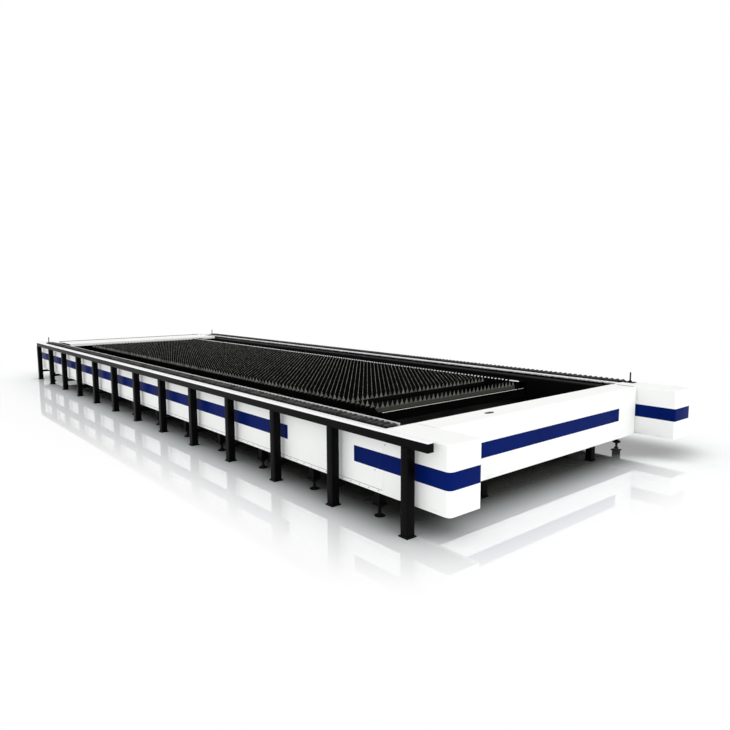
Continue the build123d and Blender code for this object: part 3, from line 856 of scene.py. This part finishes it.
@dataclass
class SlatTable(SubAssembly):
    """Toothed slats that stand across the pallet, with short stubs where some are left out."""

    pitch: float = 0.100
    teeth: int = 34
    thickness: float = 0.005
    tooth_depth: float = 0.077
    flank: Profile = ((0.27, 0.20), (0.12, 0.58))
    free_places: tuple[int, ...] = (1, 2, 3, 4, 5)
    end_cut: float = 0.055
    end_squeeze: float = 0.05
    clip: Point = (0.018, 0.020, 0.014)
    clip_inset: float = 0.002
    clip_sink: float = 0.001
    clip_round: float = 0.003
    clip_pitch: float = 0.0705
    front_clip: float = 0.170

    def build(self) -> None:
        """Model the slat and repeat it along the pallet, with stub ends at the free places."""
        low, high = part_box("support_slats")
        span = high[0] - low[0] - self.thickness
        count = round(span / self.pitch) + 1
        step = span / (count - 1)
        first_full = max(self.free_places) + 1
        front = self.slat("front_slat", self.teeth)
        row = copy(front, "slat_row", (-first_full * step, 0.0, 0.0))
        repeat(row, count - first_full, (-step, 0.0, 0.0))
        stubs = self.slat("slat_stubs", 1)
        shift(stubs, lambda spot, _: True, (-step, 0.0, 0.0))
        repeat(stubs, len(self.free_places), (-step, 0.0, 0.0))
        table = join([front, row, stubs])
        table.name = "toothed_slats"
        self.dress(table, Slot.SLAT_STEEL, ["support_slats"])
        self.clips()

    def clips(self) -> None:
        """Model the bright clip at the slats' right ends and repeat it behind a longer one at the front."""
        low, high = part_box("pallet_side_channel")
        long, wide, tall = self.clip
        y = low[1] + self.clip_inset
        bottom, top = high[2] - self.clip_sink, high[2] + tall
        first = high[0] - self.front_clip - self.clip_pitch
        row = block("slat_end_clips", (first, y, bottom), (first + long, y + wide, top))
        front = block("front_clip", (high[0] - self.front_clip, y, bottom), (high[0], y + wide, top))
        for clip in (row, front):
            round_edges(clip, self.clip_round, 2, at_top(top))
            smooth(clip)
        repeat(row, int((first - low[0]) / self.clip_pitch) + 1, (-self.clip_pitch, 0.0, 0.0))
        self.dress(join([row, front]), Slot.SLAT_STEEL, material=self.finishes.rail_steel)

    def slat(self, name: str, teeth: int) -> Piece:
        """Model a slat at the first place.

        Args:
            name: the piece's name.
            teeth: how many teeth it has, from the left.

        Returns:
            The slat, with its teeth and its slanting left end.
        """
        low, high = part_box("support_slats")
        pitch = (high[1] - low[1]) / self.teeth
        slat = self.tooth(pitch)
        slat.name = name
        if teeth > 1:
            repeat(slat, teeth, (0.0, pitch, 0.0), merge=True)
        cut = low[1] + self.end_cut
        pick(slat, "VERT", lambda spot, _: spot.z < low[2] + CLOSE and spot.y < cut)
        bpy.ops.transform.resize(value=(1.0, self.end_squeeze, 1.0), center_override=(0.0, cut, low[2]))
        clear()
        modify(slat, "SOLIDIFY", thickness=self.thickness, offset=0.0)
        outward(slat)
        return slat

    def tooth(self, pitch: float) -> Piece:
        """Model the first tooth as a thin sheet.

        Args:
            pitch: from one tooth to the next.

        Returns:
            The tooth with the strip below it.
        """
        low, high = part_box("support_slats")
        valley = high[2] - self.tooth_depth
        tip = low[1] + pitch / 2
        columns = 2 * len(self.flank) + 2
        wide = pitch / columns
        clear()
        bpy.ops.mesh.primitive_grid_add(
            x_subdivisions=columns,
            y_subdivisions=1,
            size=1.0,
            location=(high[0] - self.thickness / 2, tip, (low[2] + valley) / 2),
            rotation=(math.radians(90.0), 0.0, math.radians(90.0)),
        )
        tooth = bpy.context.object
        tooth.name = "slat_blank"
        tooth.scale = (pitch, valley - low[2], 1.0)
        settle(tooth)

        def column(number: int) -> Test:
            """Test for the upper vertex of one column."""
            y = low[1] + number * wide
            return lambda spot, _: abs(spot.z - valley) < TIGHT and abs(spot.y - y) < wide / 4

        for number, (half, rise) in enumerate(self.flank, start=1):
            for place, goal in ((number, tip - half * pitch), (columns - number, tip + half * pitch)):
                move = (0.0, goal - (low[1] + place * wide), rise * self.tooth_depth)
                shift(tooth, column(place), move)
        shift(tooth, column(columns // 2), (0.0, 0.0, self.tooth_depth))
        return tooth


@dataclass
class Bellows(SubAssembly):
    """Pleated covers over the guides of both beams."""

    pleats: int = 150
    rows: int = 6
    row_margin: float = 0.004
    fold_depth: float = 0.024
    shoulder: float = 0.022
    shoulder_drop: float = 0.028
    tuck: float = 0.012
    cloth: float = 0.003
    fold_angle: float = 15.0
    lip_width: float = 0.004
    lip_gap: float = 0.0005
    lip_sink: float = 0.004
    lip_rise: float = 0.023

    def build(self) -> None:
        """Model the pleats and the lip of each side."""
        for side in Side:
            self.pleated(side)
            self.lip(side)

    def lip(self, side: Side) -> None:
        """Model the bright lip that holds the inner edge of one side's bellows.

        Args:
            side: the beam that the bellows cover.
        """
        low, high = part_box(f"{side.value}_bellows")
        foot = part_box("bellows_edge_strips")[1][2] - self.lip_sink
        y, top = high[1] + self.lip_gap, high[2] + self.lip_gap
        if side is Side.RIGHT:
            y, top = low[1] - self.lip_gap - self.lip_width, foot + self.lip_rise
        lip = block(f"{side.value}_bellows_lip", (low[0], y, foot), (high[0], y + self.lip_width, top))
        round_edges(lip, self.lip_width / 3, 2, at_top(top))
        smooth(lip)
        self.dress(lip, Slot.RAIL_STEEL)

    def pleated(self, side: Side) -> None:
        """Model one pleat and repeat it along one side.

        Args:
            side: the beam that the bellows cover.
        """
        node = f"{side.value}_bellows"
        low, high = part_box(node)
        pitch = (high[0] - low[0]) / self.pleats
        half = (high[1] - low[1]) / 2
        middle = (low[1] + high[1]) / 2
        ridge_x = low[0] + pitch / 2
        clear()
        bpy.ops.mesh.primitive_grid_add(
            x_subdivisions=2, y_subdivisions=self.rows, size=1.0, location=(ridge_x, middle, low[2])
        )
        pleat = bpy.context.object
        pleat.name = f"{side.value}_pleated_bellows"
        pleat.scale = (pitch, half * 2, 1.0)
        settle(pleat)

        def flat(row_y: float, ridge: bool) -> Test:
            """Test for the flat vertices of one row, on its ridge or in the valleys beside it."""
            return lambda spot, _: (
                spot.z - low[2] < TIGHT
                and abs(spot.y - row_y) < self.row_margin
                and (abs(spot.x - ridge_x) < CLOSE) == ridge
            )

        for row in range(self.rows + 1):
            start = middle - half + half * 2 * row / self.rows
            sign = -1.0 if row < self.rows / 2 else 1.0
            for ridge in (True, False):
                drop, tuck = (0.0, 0.0) if ridge else (self.fold_depth, self.tuck)
                edge, crown = middle + sign * (half - tuck), high[2] - drop
                section = [
                    (edge, low[2]),
                    (edge, crown - self.shoulder_drop),
                    (edge - sign * self.shoulder, crown),
                    (middle, crown),
                ]
                y, z = section[min(row, self.rows - row)]
                shift(pleat, flat(start, ridge), (0.0, y - start, z - low[2]))
        repeat(pleat, self.pleats, (pitch, 0.0, 0.0), merge=True)
        outward(pleat)
        modify(pleat, "SOLIDIFY", thickness=self.cloth, offset=-1.0)
        smooth(pleat, self.fold_angle)
        self.dress(pleat, Slot.BELLOWS_FABRIC, [node])


@dataclass
class SideRail(SubAssembly):
    """Outer rail: its bright running strip, end plugs and posts."""

    strip_round: float = 0.0015
    plug: float = 0.004
    plug_inset: float = 0.0035
    plug_round: float = 0.0015
    posts: int = 13
    post_round: float = 0.008
    weld: float = 0.008
    weld_overlap: float = 0.002

    def build(self) -> None:
        """Make the strip, the plugs and the posts."""
        self.running_strip()
        self.end_plugs()
        self.post_row()

    def end_plugs(self) -> None:
        """Model the plates that close the rail's ends."""
        low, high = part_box("side_rail")
        inset = self.plug_inset
        plugs = []
        for x in (low[0], high[0] - self.plug):
            corner = (x + self.plug, high[1] - inset, high[2] - inset)
            plug = block("rail_plug", (x, low[1] + inset, low[2] + inset), corner)
            round_edges(plug, self.plug_round, 2, lambda spot, edge: True)
            plugs.append(plug)
        plate = join(plugs)
        plate.name = "rail_end_plugs"
        smooth(plate)
        self.dress(plate, Slot.BLACK_PAINT)

    def running_strip(self) -> None:
        """Model the strip that covers the rail's top."""
        low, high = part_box("rail_running_strip")
        strip = block("running_strip", low, high)
        round_edges(strip, self.strip_round, 2, at_top(high[2]))
        smooth(strip)
        self.dress(strip, Slot.RAIL_STEEL, ["rail_running_strip"])

    def post_row(self) -> None:
        """Model one post with its weld and repeat it."""
        low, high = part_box("rail_posts")
        size = high[1] - low[1]
        start = high[0] - size
        weld = self.weld
        post = block("rail_post_row", (start, low[1], low[2]), high)
        round_edges(post, self.post_round, 4, lambda spot, edge: upright(edge))
        corner = (high[0] + weld, high[1] + weld, low[2] + weld)
        bead = block("post_weld", (start - weld, low[1] - weld, low[2]), corner)
        pick(bead, "FACE", lambda spot, face: face.normal.z > LEVEL)
        share = (size - self.weld_overlap) / (size + 2 * weld)
        middle = ((start + high[0]) / 2, (low[1] + high[1]) / 2, low[2] + weld)
        bpy.ops.transform.resize(value=(share, share, 1.0), center_override=middle)
        clear()
        post = join([post, bead])
        smooth(post)
        repeat(post, self.posts, ((low[0] - start) / (self.posts - 1), 0.0, 0.0))
        self.dress(post, Slot.BLACK_PAINT, ["rail_posts"])


@dataclass
class EndCaps(SubAssembly):
    """White box covers over the four corners of the bed."""

    corner: float = 0.055
    top_round: float = 0.012
    side_round: float = 0.022
    sheet: float = 0.003
    inner_from: float = 0.3

    def build(self) -> None:
        """Model each cap."""
        for end in End:
            for side in Side:
                self.cap(end, side)

    def cap(self, end: End, side: Side) -> None:
        """Make one cap.

        Args:
            end: the end of the bed that it covers.
            side: the side of the bed that it covers.
        """
        node = f"{end.value}_{side.value}_cap"
        low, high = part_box(node)
        outer_x, inner_x = (high[0], low[0]) if end is End.NEAR else (low[0], high[0])
        outer_y = low[1] if side is Side.LEFT else high[1]
        cap = block(f"{node}_shell", low, high)
        cut_faces(cap, lambda spot, face: face.normal.z < -LEVEL or abs(spot.x - inner_x) < CLOSE)

        def outer(spot: Vector, edge: Any) -> bool:
            """Test for the upright edges of the outer end."""
            return upright(edge) and abs(spot.x - outer_x) < CLOSE

        def top(spot: Vector, edge: Any) -> bool:
            """Test for the edges of the top, apart from the open end's."""
            return min(v.co.z for v in edge.verts) > high[2] - TIGHT and abs(spot.x - inner_x) > CLOSE

        corner, far = self.corner if side is Side.LEFT else self.side_round, self.inner_from
        round_edges(cap, corner, 8, lambda s, e: outer(s, e) and abs(s.y - outer_y) < CLOSE)
        round_edges(cap, self.side_round, 4, lambda s, e: outer(s, e) and abs(s.y - outer_y) > far)
        round_edges(cap, self.top_round, 6, top)
        outward(cap)
        modify(cap, "SOLIDIFY", thickness=self.sheet, offset=-1.0)
        smooth(cap)
        self.dress(cap, Slot.COVER_PAINT, [node])


@dataclass
class LevellingFeet(SubAssembly):
    """Screw feet under the legs: a round pad, a threaded stud and a lock nut."""

    pad_foot: Profile = ((0.056, 0.0), (0.059, 0.003), (0.059, 0.010), (0.056, 0.013))
    pad_neck: Profile = ((0.034, 0.021), (0.027, 0.024), (0.025, 0.032), (0.020, 0.036))
    nut: Profile = ((0.027, 0.086), (0.031, 0.088), (0.031, 0.108), (0.027, 0.110))
    stud_radius: float = 0.0176
    stud_foot: float = 0.030
    stud_tip: tuple[float, float] = (0.0136, 0.238)
    thread_depth: float = 0.0016
    thread_pitch: float = 0.006
    thread_from: float = 0.034
    thread_to: float = 0.236

    def build(self) -> None:
        """Model one foot and copy it to every leg."""
        master = self.foot()
        for node, spot in feet():
            twin = copy(master, f"{node}_screw", spot)
            self.dress(twin, Slot.FOOT_STEEL, [node], body=node)
        bpy.data.objects.remove(master)

    def foot(self) -> Piece:
        """Returns: one foot on the origin."""
        pad = turned("foot_pad", [*self.pad_foot, *self.pad_neck], 32)
        core = self.stud_radius - self.thread_depth
        profile = [(core, self.stud_foot)]
        for turn in range(int((self.thread_to - self.thread_from) / self.thread_pitch)):
            start = self.thread_from + turn * self.thread_pitch
            profile += [(core, start), (self.stud_radius, start + self.thread_pitch / 2)]
        stud = turned("foot_stud", [*profile, self.stud_tip], 12)
        nut = turned("foot_nut", self.nut, 6)
        foot = join([pad, stud, nut])
        smooth(foot, 30.0)
        return foot


@dataclass
class StopPins(SubAssembly):
    """Upright pins on the stop plates, each with a collar and a rounded tip."""

    radius: float = 0.011
    collar: Profile = ((0.024, 0.0), (0.024, 0.018), (0.020, 0.022), (0.011, 0.023))
    tip: Profile = ((0.011, 0.006), (0.009, 0.002), (0.006, 0.0))

    def build(self) -> None:
        """Model one pin and copy it to the three stop plates."""
        low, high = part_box("stop_pins")
        tall = high[2] - low[2]
        tip = [(radius, tall - below) for radius, below in self.tip]
        pin = turned("stop_pin", [*self.collar, *tip], 20)
        far, near = low[0] + self.radius, high[0] - self.radius
        left, right = low[1] + self.radius, high[1] - self.radius
        spots = [(far, left, low[2]), (far, right, low[2]), (near, right, low[2])]
        pins = scatter(pin, "turned_stop_pins", spots)
        smooth(pins)
        self.dress(pins, Slot.BLACK_PAINT, ["stop_pins"])


@dataclass
class CoverFittings(SubAssembly):
    """Small fittings on the covers: hem screws and a flush oval grip."""

    screw_head: Profile = ((1.0, -0.0002), (0.9, 0.0018), (0.45, 0.003))
    lone_screws: tuple[tuple[float, float], ...] = ((6.818, 0.801), (6.662, 0.506))
    grip_shape: Profile = ((0.5, -0.5), (0.5, 0.8), (0.47, 1.0), (0.40, 1.0), (0.37, 0.3), (0.20, 0.2))
    grip_size: Point = (0.070, 0.150, 0.003)
    grip_spot: tuple[float, float] = (6.96, -0.96)

    def build(self) -> None:
        """Make the screws of the left cover and the grip of the front cover."""
        self.hem_screws()
        self.grip()

    def hem_screws(self) -> None:
        """Make the row of screws along the left hem and the two above it."""
        low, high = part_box("left_side_cover")
        row = self.screw("left_hem_screws", (high[0] - SCREW_PITCH / 2, low[1], SCREW_HEIGHT))
        repeat(row, int((high[0] - low[0]) / SCREW_PITCH), (-SCREW_PITCH, 0.0, 0.0))
        lone = [self.screw("lone_screw", (x, low[1], z)) for x, z in self.lone_screws]
        self.dress(join([row, *lone]), Slot.BLACK_PAINT)

    def screw(self, name: str, spot: Point) -> Piece:
        """Model a round-headed screw that looks to the left.

        Args:
            name: the piece's name.
            spot: the middle of its seat on the cover.

        Returns:
            The screw.
        """
        profile = [(SCREW_RADIUS * share, height) for share, height in self.screw_head]
        screw = turned(name, profile, 10)
        screw.matrix_world = Matrix.Translation(spot) @ Matrix.Rotation(math.radians(90.0), 4, "X")
        return settle(screw)

    def grip(self) -> None:
        """Model the flush oval grip with a sunk middle."""
        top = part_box("front_cover")[1][2]
        grip = turned("front_cover_grip", self.grip_shape, 32)
        scale = Matrix.Diagonal((*self.grip_size, 1.0))
        grip.matrix_world = Matrix.Translation((*self.grip_spot, top)) @ scale
        settle(grip)
        smooth(grip)
        self.dress(grip, Slot.SEAL_RUBBER)


@dataclass
class FlangeBolts(SubAssembly):
    """Hexagon bolts that hold the flange plates under the legs."""

    head: Profile = ((0.007, 0.0), (0.007, 0.0048), (0.00595, 0.006))
    inset: float = 0.0525
    flange_top: float = 0.137

    def build(self) -> None:
        """Model one bolt head and copy it to the corners of each flange."""
        bolt = turned("flange_bolt", self.head, 6)
        corners = [(a * self.inset, b * self.inset) for a in (-1, 1) for b in (-1, 1)]
        spots = [(x + a, y + b, self.flange_top) for _, (x, y, _) in feet() for a, b in corners]
        self.dress(scatter(bolt, "flange_bolts", spots), Slot.FOOT_STEEL)


@dataclass
class Studio:
    """Camera, lights, floor and surroundings."""

    spot: Point = (11.4064, -6.5573, 2.3715)
    azimuth: float = 49.92
    elevation: float = 6.96
    roll: float = -0.22
    lens: float = 30.70
    sensor: float = 36.0
    view_reach: float = 400.0
    ambient: float = 0.70
    lamps: tuple[tuple[str, Point, float, float], ...] = (
        ("key", (0.83, 0.06, 0.55), 1.08, 50.0),
        ("fill", (0.08, -0.87, 0.48), 1.04, 110.0),
    )
    floor_reach: float = 90.0
    floor_open: Colour = (0.93, 0.93, 0.93)
    floor_painted_shade: Colour = (0.85, 0.88, 0.89)
    floor_painted_shadow: Colour = (0.085, 0.090, 0.082)
    floor_shine: float = 0.34
    floor_rough: float = 0.03
    # Sizes of the painted shadow: its dark zone, its reach under the right caps, and how it fades out.
    under_half: tuple[float, float] = (6.90, 2.15)
    cap_side: tuple[float, float] = (1.6, 2.2)
    cap_reach: tuple[float, float] = (0.42, 0.32)
    beside_reach: float = 0.85
    open_reach: float = 1.80
    far_pace: float = 0.85
    more_pace: float = 1.10
    pace_grows: tuple[float, float] = (-4.0, 7.0)

    def build(self) -> None:
        """Set up the whole studio."""
        self.camera()
        self.world()
        for lamp in self.lamps:
            self.sun(*lamp)
        self.floor()

    def camera(self) -> None:
        """Add the camera at the photograph's viewpoint."""
        a, e, r = (math.radians(v) for v in (self.azimuth, self.elevation, self.roll))
        back = Vector((math.sin(a) * math.cos(e), -math.cos(a) * math.cos(e), math.sin(e)))
        right = Vector((math.cos(a), math.sin(a), 0.0))
        level = Matrix((right, back.cross(right), back)).transposed()
        data = bpy.data.cameras.new("camera")
        data.sensor_width = self.sensor
        data.lens = self.lens
        data.clip_end = self.view_reach
        camera = bpy.data.objects.new("camera", data)
        axes = level @ Matrix.Rotation(r, 3, "Z")
        camera.matrix_world = Matrix.Translation(self.spot) @ axes.to_4x4()
        bpy.context.collection.objects.link(camera)
        bpy.context.scene.camera = camera

    def world(self) -> None:
        """White to the camera and in reflections, soft light elsewhere."""
        world = bpy.data.worlds.new("studio")
        g = Nodes(world)
        path = g.add("ShaderNodeLightPath").outputs
        seen = Value(g, path["Is Camera Ray"])
        for ray in ("Is Glossy Ray", "Is Transmission Ray"):
            seen = seen.larger(path[ray])
        strength = self.ambient + (1.0 - self.ambient) * seen
        light = g.add("ShaderNodeBackground", {"Color": (1.0, 1.0, 1.0), "Strength": strength})
        g.add("ShaderNodeOutputWorld", {"Surface": light.outputs[0]})
        bpy.context.scene.world = world

    def sun(self, name: str, towards: Point, strength: float, width: float) -> None:
        """Add a broad soft lamp.

        Args:
            name: the lamp's name.
            towards: direction from the bed to the lamp.
            strength: its light on a square metre.
            width: how broad it looks, in degrees.
        """
        data = bpy.data.lights.new(f"{name}_lamp", "SUN")
        data.energy = strength
        data.angle = math.radians(width)
        lamp = bpy.data.objects.new(f"{name}_lamp", data)
        lamp.rotation_euler = Vector(towards).to_track_quat("Z", "Y").to_euler()
        bpy.context.collection.objects.link(lamp)

    def floor(self) -> None:
        """Add the pale glossy floor, with a painted shadow: dark under the bed and the right caps, pale grey
        beside them, white further out and lighter towards the near end.
        """
        clear()
        bpy.ops.mesh.primitive_plane_add(size=self.floor_reach * 2, location=(0.0, 0.0, 0.0))
        floor = bpy.context.object
        floor.name = "studio_floor"
        g = Graph("studio_floor_white")
        x, y, _ = g.place()
        middle = sum(corner[1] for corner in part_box("front_cover")) / 2
        # Painted shadow: distance from the bed's footprint, reaching further under the right caps.
        right = (y - middle).ramp(*self.cap_side)
        past_x = (abs(x) - self.cap_reach[0] * right).beyond(self.under_half[0])
        past_y = (abs(y - middle) - self.cap_reach[1] * right).beyond(self.under_half[1])
        away = (past_x * past_x + past_y * past_y).root()
        near = g.blend(away.ramp(0.0, self.beside_reach), self.floor_painted_shadow, self.floor_painted_shade)
        colour = g.blend(away.ramp(self.beside_reach / 2, self.open_reach), near, self.floor_open)
        plain = g.add("ShaderNodeBsdfDiffuse", {"Color": colour}).outputs[0]
        gloss = {"Color": (1.0, 1.0, 1.0), "Roughness": self.floor_rough}
        shine = g.add("ShaderNodeBsdfGlossy", gloss).outputs[0]
        mixed = g.add("ShaderNodeMixShader", {0: self.floor_shine, 1: plain, 2: shine}).outputs[0]
        path = g.add("ShaderNodeLightPath")
        seen = Value(g, path.outputs["Is Camera Ray"]) + Value(g, path.outputs["Is Glossy Ray"])
        glow = g.add("ShaderNodeEmission", {"Color": (1.0, 1.0, 1.0), "Strength": 1.0}).outputs[0]
        # The white glow is held back near the bed, and more at the far end, as part of the painted shadow.
        fade = away * (self.far_pace + self.more_pace * x.ramp(*self.pace_grows))
        share = seen * fade.ramp(self.open_reach / 2, self.open_reach * 2)
        whole = g.add("ShaderNodeMixShader", {0: share, 1: mixed, 2: glow})
        g.feed(g.output.inputs["Surface"], whole.outputs[0])
        floor.data.materials.append(g.material)
        bpy.context.scene.view_settings.view_transform = "Standard"


def main() -> None:
    """Build every sub-assembly in order and note the sizes."""
    logging.basicConfig(level=logging.INFO, format="%(name)s: %(message)s")
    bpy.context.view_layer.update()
    finishes = Finishes()
    PlainNodes(finishes).build()
    large = (SlatTable, Bellows, SideRail, EndCaps)
    small = (LevellingFeet, StopPins, CoverFittings, FlangeBolts)
    for assembly in large + small:
        assembly(finishes).build()
    Studio().build()
    clear()


if __name__ == "__main__":
    main()
